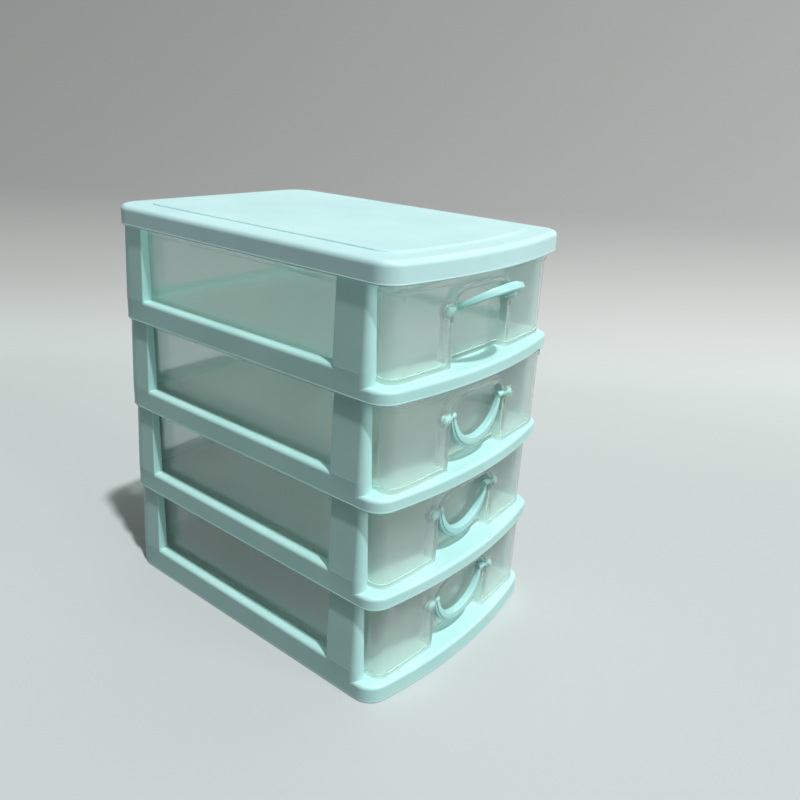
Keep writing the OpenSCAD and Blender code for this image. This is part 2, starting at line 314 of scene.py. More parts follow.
@dataclass(frozen=True)
class MouldedPolypropylene:
    """Opaque pastel polypropylene, injection moulded in a finely etched mould.

    It gives a soft, slightly waxy sheen: broad highlights on the rounded edges, faint clouding of
    the colour where the melt flowed, and a grain that is only felt up close. Its walls are thin
    enough for lamps to shine through a little, so what they enclose isn't dark.
    """

    name: str
    colour: str
    clouded: str
    roughness: float = 0.42
    subsurface: float = 0.12
    # The share of a lamp's light that each face lets through, and the colour that it takes on.
    shine_through: float = 0.45
    shine_colour: str = "#ECF2EE"
    cloud_mm: float = 22.0
    # The real grain is about 0.1 mm; it is drawn coarser so that it shows.
    grain_mm: float = 0.7
    grain_depth_mm: float = 0.006

    def build(self) -> bpy.types.Material:
        """Makes the material.

        Returns:
            The material.
        """
        material, tree = blank_material(self.name)
        where = add_node(tree, "ShaderNodeTexCoord").outputs["Object"]
        cloud, grain = (
            add_node(tree, "ShaderNodeTexNoise", inputs={
                "Vector": where, "Scale": 1 / (patch_mm * MM), "Detail": detail,
                "Roughness": roughness}).outputs["Fac"]
            for patch_mm, detail, roughness in (
                (self.cloud_mm, 2.0, 0.45), (self.grain_mm, 3.0, 0.6)))
        ramp = add_node(tree, "ShaderNodeMapRange", inputs={
            "Value": cloud, "From Min": 0.35, "From Max": 0.65})
        colour = add_node(tree, "ShaderNodeMix", {"data_type": "RGBA"}, {
            "Factor": ramp.outputs["Result"], "A": linear(self.colour), "B": linear(self.clouded)})
        bump = add_node(tree, "ShaderNodeBump", inputs={
            "Height": grain, "Strength": 0.6, "Distance": self.grain_depth_mm * MM})
        sheen = add_node(tree, "ShaderNodeMapRange", inputs={
            "Value": cloud, "To Min": self.roughness - 0.04, "To Max": self.roughness + 0.05})
        shader = add_node(tree, "ShaderNodeBsdfPrincipled", inputs={
            "Base Color": colour.outputs["Result"], "Roughness": sheen.outputs["Result"],
            "IOR": 1.49, "Specular IOR Level": 0.4, "Subsurface Weight": self.subsurface,
            "Subsurface Scale": 0.002, "Subsurface Radius": (0.8, 1.0, 1.0),
            "Normal": bump.outputs["Normal"]})
        clear_to_lamps(tree, shader.outputs["BSDF"], self.shine_colour, self.shine_through)
        return material


@dataclass(frozen=True)
class FrostedPolypropylene:
    """Natural polypropylene, moulded thin: milky, and clear enough to show what is close behind.

    The faces are glossy and the bulk is hazy, so edges and rims read as thin bright lines, things
    that touch the wall show through it, and things further away are only patches of tone. Lamps
    reach what is inside through it, and its walls glow a little where light falls on their backs.
    """

    name: str
    colour: str
    haze: float = 0.1
    glow: float = 0.09
    roughness: float = 0.09
    # The colour that a lamp's light takes on at each face.
    shadow_colour: str = "#DCE6E2"
    cloud_mm: float = 14.0
    ripple_mm: float = 0.05

    def build(self) -> bpy.types.Material:
        """Makes the material.

        Returns:
            The material.
        """
        material, tree = blank_material(self.name)
        where = add_node(tree, "ShaderNodeTexCoord").outputs["Object"]
        cloud = add_node(tree, "ShaderNodeTexNoise", inputs={
            "Vector": where, "Scale": 1 / (self.cloud_mm * MM), "Detail": 2.0,
            "Roughness": 0.5}).outputs["Fac"]
        blur = add_node(tree, "ShaderNodeMapRange", inputs={
            "Value": cloud, "To Min": self.roughness - 0.03, "To Max": self.roughness + 0.05})
        bump = add_node(tree, "ShaderNodeBump", inputs={
            "Height": cloud, "Strength": 0.4, "Distance": self.ripple_mm * MM})
        shader = add_node(tree, "ShaderNodeBsdfPrincipled", inputs={
            "Base Color": linear(self.colour), "Roughness": blur.outputs["Result"],
            "IOR": 1.49, "Transmission Weight": 1 - self.haze, "Normal": bump.outputs["Normal"]})
        back_lit = add_node(tree, "ShaderNodeBsdfTranslucent", inputs={
            "Color": linear(self.colour)})
        milky = add_node(tree, "ShaderNodeMixShader", inputs={
            0: self.glow, 1: shader.outputs["BSDF"], 2: back_lit.outputs["BSDF"]})
        clear_to_lamps(tree, milky.outputs["Shader"], self.shadow_colour)
        return material


class Finish(Enum):
    """The finishes of the set, each with the name of its slot."""

    FRAME = "frame_plastic"
    LID = "lid_plastic"
    DRAWER = "drawer_plastic"
    HANDLE = "handle_plastic"


Look = MouldedPolypropylene | FrostedPolypropylene

FINISHES: dict[Finish, Look] = {
    Finish.FRAME: MouldedPolypropylene("moulded_polypropylene_frame", "#B1DFDC", "#B8E4E1"),
    # Painted light: the lid is the frames' plastic, given a lighter colour so that its top renders
    # as bright as the light falling on it; its skirt comes out lighter with it.
    Finish.LID: MouldedPolypropylene("moulded_polypropylene_lid", "#BFE6E7", "#C6EBEC",
                                     shine_through=0.7),
    Finish.DRAWER: FrostedPolypropylene("frosted_polypropylene_drawer", "#EAF2F0"),
    Finish.HANDLE: MouldedPolypropylene("moulded_polypropylene_handle", "#A9DEDB", "#B1E3E0",
                                        roughness=0.3, subsurface=0.2),
}
# The drawers' floors are etched on both sides, and so hide more of what is under them.
ETCHED_FLOOR = FrostedPolypropylene("etched_polypropylene_drawer_floor", "#E9F1EF", haze=0.42,
                                    glow=0.2, roughness=0.3, shadow_colour="#B7C1BD")


@cache
def material_of(look: Look) -> bpy.types.Material:
    """Makes the material of a look once, and hands out the same one after that.

    Args:
        look: the look.

    Returns:
        Its material.
    """
    return look.build()


def etch_floor(piece: bpy.types.Object, top: float) -> None:
    """Gives the level faces of a drawer's floor their etched finish.

    Args:
        piece: the drawer.
        top: height of the floor's upper side in millimetres.
    """
    slack, level = 0.02, 0.999
    piece.data.materials.append(material_of(ETCHED_FLOOR))
    for face in piece.data.polygons:
        if face.center.z < (top + slack) * MM and abs(face.normal.z) > level:
            face.material_index = 1


def dress(piece: bpy.types.Object, finish: Finish, body: str, nodes: Iterable[str]) -> None:
    """Gives a piece its finish and its place in the part.

    Args:
        piece: the new piece.
        finish: its finish.
        body: the body that it rides on.
        nodes: the solids that it stands for.
    """
    piece.data.materials.append(material_of(FINISHES[finish]))
    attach(piece, body)
    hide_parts(*nodes)
    LOG.info("%s: %d points, stands for %s", piece.name, len(piece.data.vertices), ", ".join(nodes))


# ---------- Plan outlines ----------

@dataclass(frozen=True)
class Outline:
    """The runs of points that make up a closed outline, the same on the left and the right."""

    half_w: float
    ys: Points
    rear_centre: Pair
    rear_r: float
    rear: Sequence[Pair]
    front_centre: Pair
    front_r: float
    front: Sequence[Pair]
    corner_count: int
    turn: float = 0.0

    def points(self) -> Points:
        """Joins the runs, counter-clockwise from the front of the right side.

        Returns:
            An (n, 2) array.
        """
        (rx, ry), (fx, fy), n = self.rear_centre, self.front_centre, self.corner_count
        return np.array(
            [(self.half_w, y) for y in self.ys]
            + arc((rx, ry), self.rear_r, 0, 90, n)[1:]
            + list(self.rear[1:])
            + arc((-rx, ry), self.rear_r, 90, 180, n)[1:]
            + [(-self.half_w, y) for y in self.ys[::-1]][1:]
            + arc((-fx, fy), self.front_r, 180, 270 - self.turn, n)[1:]
            + list(self.front[1:])
            + arc((fx, fy), self.front_r, 270 + self.turn, 360, n)[1:-1])


@dataclass(frozen=True)
class BowedPlan:
    """A plan with straight sides, rounded rear corners and a bowed front.

    Every loop of one plan has the same runs of points, so loops at different insets pair up.
    """

    half_w: float
    rear_y: float
    bow_y: float
    bow_r: float
    rear_r: float
    front_r: float
    side_steps: tuple[float, ...] = (0.0, 0.25, 0.5, 0.75, 1.0)
    bow_xs: tuple[float, ...] = ()
    corner_count: int = 10
    rear_count: int = 6
    bow_count: int = 32
    rear_turn: float | None = None

    @property
    def front_cx(self) -> float:
        """Distance of a front corner's centre from the middle."""
        return self.half_w - self.front_r

    @property
    def front_cy(self) -> float:
        """Place of the front corners' centres along Y."""
        reach = self.bow_r - self.front_r
        return self.bow_y - math.sqrt(reach * reach - self.front_cx ** 2)

    @property
    def turn(self) -> float:
        """Angle in degrees that half of the bow turns through."""
        return math.degrees(math.asin(self.front_cx / (self.bow_r - self.front_r)))

    def on_bow(self, x: float, inset: float) -> Pair:
        """The point on the bow that lies at x where the inset is 0, moved in.

        Args:
            x: its place across.
            inset: how far in.

        Returns:
            The point.
        """
        a = math.asin(x / self.bow_r)
        r = self.bow_r - inset
        return (r * math.sin(a), self.bow_y - r * math.cos(a))

    def sides(self) -> Points:
        """Places along Y of the points on the sides, from the front to the rear."""
        rear_cy = self.rear_y - self.rear_r
        return self.front_cy + np.array(self.side_steps) * (rear_cy - self.front_cy)

    def xs(self) -> Points:
        """Places along X, at inset 0, of the points on the bow.

        Returns:
            The places, from left to right.
        """
        edge = self.bow_r * math.sin(math.radians(self.turn))
        if self.bow_xs:
            return np.array([-edge, *self.bow_xs, edge])
        return np.linspace(-edge, edge, self.bow_count + 1)

    def rear_xs(self) -> list[float]:
        """Places along X of the points on the rear.

        Returns:
            The places, from right to left.
        """
        cx = self.half_w - self.rear_r
        if self.rear_turn is None:
            return list(np.linspace(cx, -cx, self.rear_count + 1))
        t = self.rear_turn
        half = [cx, t + TWIN_GAP, t - TWIN_GAP, t / 2]
        return half + [-x for x in half[::-1]]

    def loop(self, inset: float) -> Points:
        """The outline moved in, counter-clockwise from the front of the right side.

        Args:
            inset: how far in, less than the corners' radii; negative moves out.

        Returns:
            An (n, 2) array.
        """
        rear_y, r = self.rear_y - inset, self.rear_r
        return Outline(
            half_w=self.half_w - inset, ys=self.sides(),
            rear_centre=(self.half_w - r, self.rear_y - r), rear_r=r - inset,
            rear=[(x, rear_y) for x in self.rear_xs()],
            front_centre=(self.front_cx, self.front_cy), front_r=self.front_r - inset,
            front=[self.on_bow(x, inset) for x in self.xs()],
            corner_count=self.corner_count, turn=self.turn).points()


@dataclass(frozen=True)
class Cabinet:
    """Sizes that the frames, the lid and the drawers share."""

    half_w: float = 45.0
    rear_y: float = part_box("frame_1")[1].y / MM
    depth: float = 130.0
    bow_r: float = 179.4
    rear_corner_r: float = 10.0
    front_corner_r: float = 7.2
    tier_h: float = 32.8
    base_extra: float = 1.6
    tiers: int = 4
    rail_w: float = 4.0
    skirt_t: float = 2.0
    foot_round: float = 0.4
    post_front_setback: float = 11.1

    @property
    def front_y(self) -> float:
        """The middle of the bowed front."""
        return self.rear_y - self.depth

    @property
    def post_front_y(self) -> float:
        """Front face of the front posts."""
        return self.front_y + self.post_front_setback

    def plan(self, **changes: Any) -> BowedPlan:
        """The outline that the frames and the lid share.

        Args:
            changes: other values for the plan's fields.

        Returns:
            The plan.
        """
        return BowedPlan(self.half_w, self.rear_y, self.front_y + self.bow_r, self.bow_r,
                         self.rear_corner_r, self.front_corner_r, **changes)

    def tier_z(self, n: int) -> float:
        """Height of the foot of a tier.

        Args:
            n: the tier, counted from 1 at the bottom.

        Returns:
            The height.
        """
        return self.base_extra + (n - 1) * self.tier_h


CABINET = Cabinet()
# A fine moulding bead runs round the foot of each skirt, and the faces above stand in by this.
BEAD = 0.12
# The bead's upper side: how far in each point lies, and how far above the rounded foot.
BEAD_STEPS = ((0.0, 0.12), (0.05, 0.24), (BEAD, 0.34))
# The rounded foot itself: how far in and up each point lies, as shares of its radius.
FOOT_STEPS = ((1.0, 0.0), (0.5, 0.14), (0.14, 0.5), (0.0, 1.0))


def skirt_section(z0: float, plate_z: float, skirt_t: float, foot_r: float) -> list[Pair]:
    """The skirt's section as (inset, height): its inner side down, its foot, and its outer foot.

    Args:
        z0: height of the foot.
        plate_z: height of the plate's underside.
        skirt_t: thickness of the skirt.
        foot_r: rounding of the outer foot edge.

    Returns:
        Points from the plate's underside to the outer face.
    """
    fillet, inner_r, middle = 0.5, 0.25, 0.07
    return [*eased((skirt_t, plate_z), fillet, -fillet),
            *eased((skirt_t, z0), -inner_r, inner_r, middle)[::-1],
            *((foot_r * across, z0 + foot_r * up) for across, up in FOOT_STEPS),
            *((inset, z0 + foot_r + rise) for inset, rise in BEAD_STEPS)]


def rounded_top(z: float, r: float, count: int) -> list[Pair]:
    """A rounded upper outer edge as (inset, height), from the outer face to the top.

    Args:
        z: height of the top.
        r: radius of the edge.
        count: number of steps.

    Returns:
        count + 1 points.
    """
    return arc((BEAD + r, z - r), r, 180, 90, count)


# ---------- Frames ----------

@dataclass(frozen=True)
class TierFrame:
    """One moulded frame: its band and ledge, the rails above it, four posts and their tongues."""

    n: int
    ledge_h: float = 4.4
    ledge_t: float = 1.4
    ledge_reach: float = 15.5
    opening_setback: float = 8.0
    opening_r: float = 6.0
    rail_h: float = 8.0
    rail_round: float = 1.3
    ledge_round: float = 1.2
    post_lean: float = 1.1
    post_r: float = 3.0
    front_post_l: float = 13.4
    rear_post_l: float = 16.5
    rear_post_w: float = 14.0
    # The posts' inner faces stand this far back from the rails', so that no two faces coincide.
    post_relief: float = 0.05
    # Where a post rises from its rail, its outer face stands in by this, too little to see.
    post_sunk: float = 0.03
    # Posts start this far below the ledge's top, and end this far below the next tier.
    post_root: float = 0.9
    top_gap: float = 0.02
    top_round: float = 0.3
    post_shares: tuple[float, ...] = (0.02, 0.35, 0.7)
    edge_r: float = 0.45
    edge_middle: float = 0.13
    opening_round: float = 0.3
    opening_chamfer: float = 0.2
    side_shares: tuple[float, ...] = (0.0, 0.3, 0.45, 0.6, 0.75, 1.0)
    tongue_size: Triple = (1.4, 8.0, 2.6)
    tongue_gap: float = 0.2
    tongue_r: float = 0.25
    # The tongue's tip: how far below the top each loop lies, and how far it is drawn in.
    tongue_tip: tuple[Pair, ...] = ((0.4, 0.0), (0.1, 0.1), (0.0, 0.35))

    @property
    def z(self) -> float:
        """Height of the tier's foot."""
        return CABINET.tier_z(self.n)

    def opening(self, plan: BowedPlan, grow: float) -> Points:
        """The ledge's opening, with the same runs of points as the plan.

        Args:
            plan: the outline that it pairs up with.
            grow: how far it is moved out.

        Returns:
            An (n, 2) array.
        """
        w = CABINET.half_w - self.ledge_reach + grow
        back = CABINET.rear_y - self.ledge_reach + grow
        front = CABINET.post_front_y + self.opening_setback - grow
        r = self.opening_r + grow
        ys = plan.sides()
        share = (ys - ys[0]) / (ys[-1] - ys[0])
        cx = w - r
        return Outline(
            half_w=w, ys=front + r + share * (back - front - 2 * r),
            rear_centre=(cx, back - r), rear_r=r,
            rear=[(x, back) for x in np.linspace(cx, -cx, len(plan.rear_xs()))],
            front_centre=(cx, front + r), front_r=r,
            front=[(x, front) for x in np.linspace(-cx, cx, len(plan.xs()))],
            corner_count=plan.corner_count).points()

    def band(self, shell: Shell) -> None:
        """The band with its skirt, the ledge, and the rails along the sides and the rear.

        Args:
            shell: where it goes.
        """
        sides = CABINET.plan().sides()
        length = sides[-1] - sides[0]
        w, e, middle = CABINET.rail_w, self.edge_r, self.edge_middle
        rail_start = CABINET.post_front_y + self.post_r
        window = (CABINET.post_front_y + self.front_post_l - e,
                  CABINET.rear_y - self.rear_post_l + e)
        window_x = CABINET.half_w - self.rear_post_w + e
        twins = [(y + shift - sides[0]) / length for y in (rail_start, *window)
                 for shift in (-TWIN_GAP, TWIN_GAP)]
        plan = CABINET.plan(side_steps=tuple(sorted([*self.side_shares, *twins])),
                            rear_turn=window_x)
        foot = 0.0 if self.n == 1 else self.z
        ledge = self.z + self.ledge_h
        under = ledge - self.ledge_t
        rail = self.z + self.rail_h
        low = skirt_section(foot, under, CABINET.skirt_t, CABINET.foot_round)
        inner = eased((w, rail), -e, -e, middle) + eased((w, ledge), e, e, middle)[::-1]
        railed = low + rounded_top(rail, self.rail_round, 5) + inner
        # Under a post the rail keeps its full width, and runs up into the post's face.
        posted = low + rounded_top(rail, self.post_sunk, 5) + inner
        # In front there is no rail, and the points of its inner side lie along the ledge.
        bare = low + rounded_top(ledge, self.ledge_round, 5) + [
            (x, ledge) for x in np.linspace(self.ledge_round + 0.4, w + e, len(inner))]
        outer = plan.loop(0.0)
        x, y = abs(outer[:, 0]), outer[:, 1]
        is_front = (y < rail_start)[:, None]
        is_window = (((y > window[0]) & (y < window[1])) | ((x < window_x) & (y > 0)))[:, None]
        rows = []
        for section in zip(railed, posted, bare):
            a, b, c = (with_height(plan.loop(inset), z) for inset, z in section)
            rows.append(np.where(is_front, c, np.where(is_window, a, b)))
        r, chamfer = self.opening_round, self.opening_chamfer
        for grow, z in (*eased((0.0, ledge), r, -r), (0.0, under + chamfer), (chamfer, under)):
            rows.append(with_height(self.opening(plan, grow), z))
        shell.grid(np.array(rows), close_u=True, close_v=True)

    def lean(self, z: float) -> float:
        """How far a post's outer face stands in from the band's.

        Args:
            z: the height to tell it at.

        Returns:
            The distance.
        """
        foot = self.z + self.rail_h
        share = max(0.0, (z - foot) / (self.z + CABINET.tier_h - foot))
        start = BEAD + self.post_sunk
        return start + (self.post_lean - start) * share

    def post_levels(self) -> list[Pair]:
        """Heights of a post's loops.

        Returns:
            The heights, each with how far the loop is drawn in round the top edge.
        """
        r = self.top_round
        top = self.z + CABINET.tier_h - self.top_gap
        foot = self.z + self.ledge_h - self.post_root
        rail = self.z + self.rail_h
        sides = [rail + (top - r - rail) * share for share in self.post_shares]
        return [(z, 0.0) for z in (foot, rail - 0.05, *sides)] + [
            (z, draw) for draw, z in eased((0.0, top), r, -r)[::-1]]

    def front_post(self) -> Points:
        """The right front post.

        Returns:
            Its loops, as an (m, n, 3) array.
        """
        loops = []
        y0 = CABINET.post_front_y
        y1 = y0 + self.front_post_l
        inner = CABINET.half_w - CABINET.rail_w + self.post_relief
        cx, cy = CABINET.half_w - self.post_r, y0 + self.post_r
        e = self.edge_r
        for z, draw in self.post_levels():
            lean = self.lean(z) + draw
            x, near, far, xi = CABINET.half_w - lean, y0 + lean, y1 - draw, inner + draw
            plan = (arc((xi + e, near + e), e, 180, 270, 4)
                    + arc((cx, cy), self.post_r - lean, 270, 360, 12)
                    + [(x, y) for y in np.linspace(cy, far - e, 4)[1:-1]]
                    + arc((x - e, far - e), e, 0, 90, 4)
                    + arc((xi + e, far - e), e, 90, 180, 4))
            loops.append(with_height(plan, z))
        return np.array(loops)

    def rear_post(self) -> Points:
        """The right rear post, which turns the corner.

        Returns:
            Its loops, as an (m, n, 3) array.
        """
        loops = []
        r = CABINET.rear_corner_r
        cx, cy = CABINET.half_w - r, CABINET.rear_y - r
        y0 = CABINET.rear_y - self.rear_post_l
        x0 = CABINET.half_w - self.rear_post_w
        inner_r = r - CABINET.rail_w + self.post_relief
        e = self.edge_r
        for z, draw in self.post_levels():
            lean = self.lean(z) + draw
            x, y = CABINET.half_w - lean, CABINET.rear_y - lean
            ri = inner_r + draw
            plan = (arc((cx + ri + e, y0 + draw + e), e, 180, 270, 4)
                    + arc((x - e, y0 + draw + e), e, 270, 360, 4)
                    + arc((cx, cy), r - lean, 0, 90, 14)
                    + arc((x0 + draw + e, y - e), e, 90, 180, 4)
                    + arc((x0 + draw + e, cy + ri + e), e, 180, 270, 4)
                    + arc((cx, cy), ri, 90, 0, 14))
            loops.append(with_height(plan, z))
        return np.array(loops)

    def tongue(self, y0: float) -> Points:
        """A right tongue.

        Args:
            y0: where it starts.

        Returns:
            Its loops, as an (m, n, 3) array.
        """
        t, length, height = self.tongue_size
        x0 = CABINET.half_w - CABINET.skirt_t - self.tongue_gap - t
        top = self.z + CABINET.tier_h
        r = self.tongue_r
        tip = [(top + height - below, draw) for below, draw in self.tongue_tip]
        loops = []
        for z, draw in ((top - t, 0.0), *tip):
            a, b, c, d = x0 + draw, x0 + t - draw, y0 + draw, y0 + length - draw
            plan = (arc((b - r, c + r), r, 270, 360, 3) + arc((b - r, d - r), r, 0, 90, 3)
                    + arc((a + r, d - r), r, 90, 180, 3) + arc((a + r, c + r), r, 180, 270, 3))
            loops.append(with_height(plan, z))
        return np.array(loops)

    def build(self) -> None:
        """Makes the frame and dresses it."""
        shell = Shell()
        self.band(shell)
        shell.mirrored(self.front_post())
        shell.mirrored(self.rear_post())
        front = CABINET.post_front_y + (self.front_post_l - self.tongue_size[1]) / 2
        rear = CABINET.rear_y - self.rear_post_l + self.post_r / 2
        for y in (front, rear):
            shell.mirrored(self.tongue(y))
        piece = shell.make(f"tier_frame_{self.n}")
        dress(piece, Finish.FRAME, "cabinet", [f"frame_{self.n}"])


# ---------- Lid ----------

@dataclass(frozen=True)
class Lid:
    """The lid: a skirt all round, a rounded rim, and a panel that is raised a little."""

    height: float = 7.2
    plate_t: float = 2.0
    rim_round: float = 1.8
    panel_rise: float = 0.5
    panel_inset: float = 8.7
    panel_corner_r: float = 6.732
    # The panel's edge: how far in each point lies, and its share of the panel's rise.
    panel_edge: tuple[Pair, ...] = ((-0.2, 0.0), (-0.06, 0.03), (0.0, 0.1), (0.03, 0.75),
                                    (0.1, 0.92), (0.25, 1.0))

    def panel_loop(self, offset: float) -> Points:
        """The panel's outline.

        Args:
            offset: how far it is moved in.

        Returns:
            An (n, 2) array.
        """
        r = self.panel_corner_r
        return BowedPlan(CABINET.half_w - self.panel_inset, CABINET.rear_y - self.panel_inset,
                         CABINET.front_y + CABINET.bow_r, CABINET.bow_r - self.panel_inset,
                         r, r).loop(offset)

    def build(self) -> None:
        """Makes the lid and dresses it."""
        z0 = CABINET.tier_z(CABINET.tiers + 1)
        rim = z0 + self.height - self.panel_rise
        plan = CABINET.plan()
        section = (skirt_section(z0, rim - self.plate_t, CABINET.skirt_t, CABINET.foot_round)
                   + rounded_top(rim, self.rim_round, 7))
        rows = [with_height(plan.loop(inset), z) for inset, z in section]
        rows += [with_height(self.panel_loop(offset), rim + rise * self.panel_rise)
                 for offset, rise in self.panel_edge]
        shell = Shell()
        shell.tube(np.array(rows))
        piece = shell.make("lid_panel")
        dress(piece, Finish.LID, "cabinet", ["lid"])


# ---------- Drawers ----------

@dataclass(frozen=True)
class WallSide:
    """The outer or the inner side of a drawer's walls."""

    inset: float
    # Height of its foot, and the foot's rounding as (inset, height) pairs.
    foot: float
    rounding: Sequence[Pair]
    # (grow, depth) pairs from the plain front to the recess's own panel.
    steps: Sequence[Pair]


@dataclass(frozen=True)
class DrawerBox:
    """A translucent drawer: its box, rim, and the recess in its front with pads and bosses.

    The middle of its front, round the recess, is drawn as a patch of its own.
    """

    n: int
    slid_out: float
    half_w: float = 40.2
    rear_gap: float = 4.9
    setback: float = 4.7
    bow_r: float = 380.2
    front_r: float = 4.5
    rear_r: float = 5.6
    wall_t: float = 1.2
    floor_t: float = 1.2
    foot_h: float = 4.7
    top_h: float = 32.2
    foot_round: float = 0.5
    # The floor's round inside, and how far in its middle point lies.
    floor_round: Pair = (0.8, 0.23)
    rim_out: float = 0.5
    rim_h: float = 2.1
    # Rounds of the rim, at its foot, at its top and inside.
    rim_rounds: Triple = (0.2, 0.4, 0.3)
    # The round under the rim's foot: how far down it reaches, and where its middle point lies.
    under_rim: Pair = (0.25, 0.06)
    # Rounds of the recess's edge and corner as seen from inside the drawer.
    inner_rounds: Pair = (0.5, 0.6)
    recess_half_w: float = 15.3
    recess_top: float = 27.3
    recess_r: float = 7.0
    recess_d: float = 4.0
    # The recess's rounded edge, as (grow, depth) pairs, and its round corner at the panel.
    recess_edge: tuple[Pair, ...] = ((0.35, 0.0), (0.17, 0.05), (0.05, 0.17), (0.0, 0.35))
    recess_corner: Pair = (0.35, 0.1)
    patch_x: float = 19.0
    patch_top: float = 29.4
    # Points on the front's left outside the patch, and shares along the sides past the flange.
    front_xs: Triple = (-32.0, -28.0, -23.5)
    side_shares: Triple = (0.4, 0.7, 1.0)
    # Steps of the patch: up to the recess's round corner, each way past it, and between the two.
    leg_steps: int = 5
    past_steps: int = 4
    top_steps: int = 6
    pad_t: float = 0.6
    pad_foot: float = 18.6
    pad_drop: float = 3.4
    pad_setback: float = 0.35
    pad_r: float = 0.2
    # The pad's foot: how far up each loop lies, and how far it is drawn in.
    pad_foot_steps: tuple[Pair, ...] = ((0.0, 0.15), (0.12, 0.04), (0.35, 0.0))
    # How far pads and bosses run into the walls that carry them.
    overlap: float = 0.4
    boss_r: float = 2.1
    boss_start: float = 15.8
    boss_end: float = 19.4
    boss_round: float = 0.3
    pivot_h: float = 22.1
    pivot_setback: float = 1.7
    flange_l: float = 7.3
    # The end of the front plate's flange: how far past it each point lies, and how far in.
    flange_end: tuple[Pair, ...] = ((-0.1, 0.0), (-0.03, 0.04), (0.0, 0.04), (0.05, 0.4))

    @property
    def front_y(self) -> float:
        """The middle of the drawer's front."""
        return CABINET.front_y + self.setback - self.slid_out

    @property
    def z(self) -> float:
        """Height of the tier's foot."""
        return CABINET.tier_z(self.n)

    @property
    def corner(self) -> Pair:
        """Centre of the recess's round corner, to the right of the middle and up."""
        return self.recess_half_w - self.recess_r, self.recess_top - self.recess_r

    def tops(self) -> list[float]:
        """Places along X over the recess, between its round corners."""
        cx = self.corner[0]
        return list(np.linspace(-cx, cx, self.top_steps + 1))[1:-1]

    def plan(self) -> BowedPlan:
        """The outline of the walls, with close points where the front plate's flange ends.

        Returns:
            The plan.
        """
        side = list(np.linspace(-self.patch_x, -self.corner[0], self.past_steps + 1))
        half = [*self.front_xs, *side]
        plain = BowedPlan(self.half_w, CABINET.rear_y - self.rear_gap - self.slid_out,
                          self.front_y + self.bow_r, self.bow_r, self.rear_r, self.front_r,
                          bow_xs=(*half, *self.tops(), *(-x for x in half[::-1])), corner_count=8)
        sides = plain.sides()
        start, length = sides[0], sides[-1] - sides[0]
        end = self.front_y + self.flange_l
        close = [(end + past - start) / length for past, _ in self.flange_end]
        return replace(plain, side_steps=(0.0, *close, *self.side_shares))

    def outline(self, inset: float) -> Points:
        """The walls' outer outline: the front plate's flange stands out a little at the sides.

        Args:
            inset: how far it is moved in.

        Returns:
            An (n, 2) array.
        """
        plan, slack = self.plan(), 0.01
        loop = plan.loop(inset)
        past_end = loop[:, 1:] - (self.front_y + self.flange_l)
        for past, stands_in in self.flange_end:
            loop = np.where(past_end > past - slack, plan.loop(inset + stands_in), loop)
        return loop

    def levels(self, side: WallSide) -> list[Pair]:
        """Heights up to the top of the patch, each with its inset for the rounded foot.

        Args:
            side: the side of the walls.

        Returns:
            The (height, inset) pairs.
        """
        centre = self.corner[1]
        above = [*np.linspace(side.foot + side.rounding[-1][1], centre, self.leg_steps + 1)[1:],
                 *np.linspace(centre, self.patch_top, self.past_steps + 1)[1:]]
        return [(side.foot + h, inset) for inset, h in side.rounding] + [(z, 0.0) for z in above]

    def patch(self, shell: Shell, side: WallSide) -> Points:
        """The part of the front round the recess, as one sheet.

        Args:
            shell: where the sheet goes.
            side: the side of the walls.

        Returns:
            The points along the sheet's foot, from left to right.
        """
        plan, tops, steps = self.plan(), self.tops(), side.steps
        cx, cz = self.corner
        rows = self.levels(side)
        legs = rows[:len(side.rounding) + self.leg_steps]

        def place(x: float, z: float, depth: float, inset: float) -> Triple:
            """The point on the front at x and z, moved in by the depth and the inset."""
            return (*plan.on_bow(x, depth + inset), self.z + z)

        def edge(grow: float) -> list[Triple]:
            """The left half of the recess's edge.

            Args:
                grow: how far it is moved out.

            Returns:
                (x, z, inset) triples, upwards.
            """
            bend = arc((-cx, cz), self.recess_r + grow, 180, 90, 2 * self.past_steps)[1:]
            return ([(-self.recess_half_w - grow, z, inset) for z, inset in legs]
                    + [(x, z, 0.0) for x, z in bend])

        def lap(left_edge: Sequence[Triple], top: float, depth: float) -> list[Triple]:
            """One line of points up the left, over the recess and down the right.

            Args:
                left_edge: its left half, as (x, z, inset) triples.
                top: height of its level part.
                depth: how far in it lies.

            Returns:
                The points.
            """
            left = [place(x, z, depth, inset) for x, z, inset in left_edge]
            middle = [place(x, top, depth, 0.0) for x in tops]
            return left + middle + [(-x, y, z) for x, y, z in left[::-1]]

        corner_xs = np.linspace(-self.patch_x, -cx, self.past_steps + 1)[1:]
        outer = ([(-self.patch_x, z, inset) for z, inset in rows]
                 + [(x, self.patch_top, 0.0) for x in corner_xs])
        laps = [lap(outer, self.patch_top, steps[0][1])]
        laps += [lap(edge(grow), self.recess_top + grow, depth) for grow, depth in steps]
        shell.grid(np.array(laps))
        grow, depth = steps[-1]
        rungs = [[place(-x * t / cx, z, depth, inset) for t in (-cx, *tops, cx)]
                 for x, z, inset in edge(grow)]
        shell.grid(np.array(rungs))
        return np.array([row[0] for row in laps] + rungs[0][1:-1] + [row[-1] for row in laps[::-1]])

    def wall(self, shell: Shell, side: WallSide) -> None:
        """One side of the drawer's walls, from its foot to the top of the patch, with its floor.

        Args:
            shell: where it goes.
            side: the side of the walls.
        """
        plan = self.plan()
        loop = self.outline if side.inset == 0 else plan.loop
        rows = np.array([with_height(loop(side.inset + more), self.z + z)
                         for z, more in self.levels(side)])
        xs = plan.xs()
        bow_start = rows.shape[1] - plan.corner_count - len(xs) + 1
        first, last = (int(np.argmin(abs(xs - x))) + bow_start
                       for x in (-self.patch_x, self.patch_x))
        shell.grid(rows, close_v=True, skip=lambda i, j: first <= j < last)
        foot_points = self.patch(shell, side)
        shell.cap(np.concatenate([rows[0][:first], foot_points, rows[0][last + 1:]]))

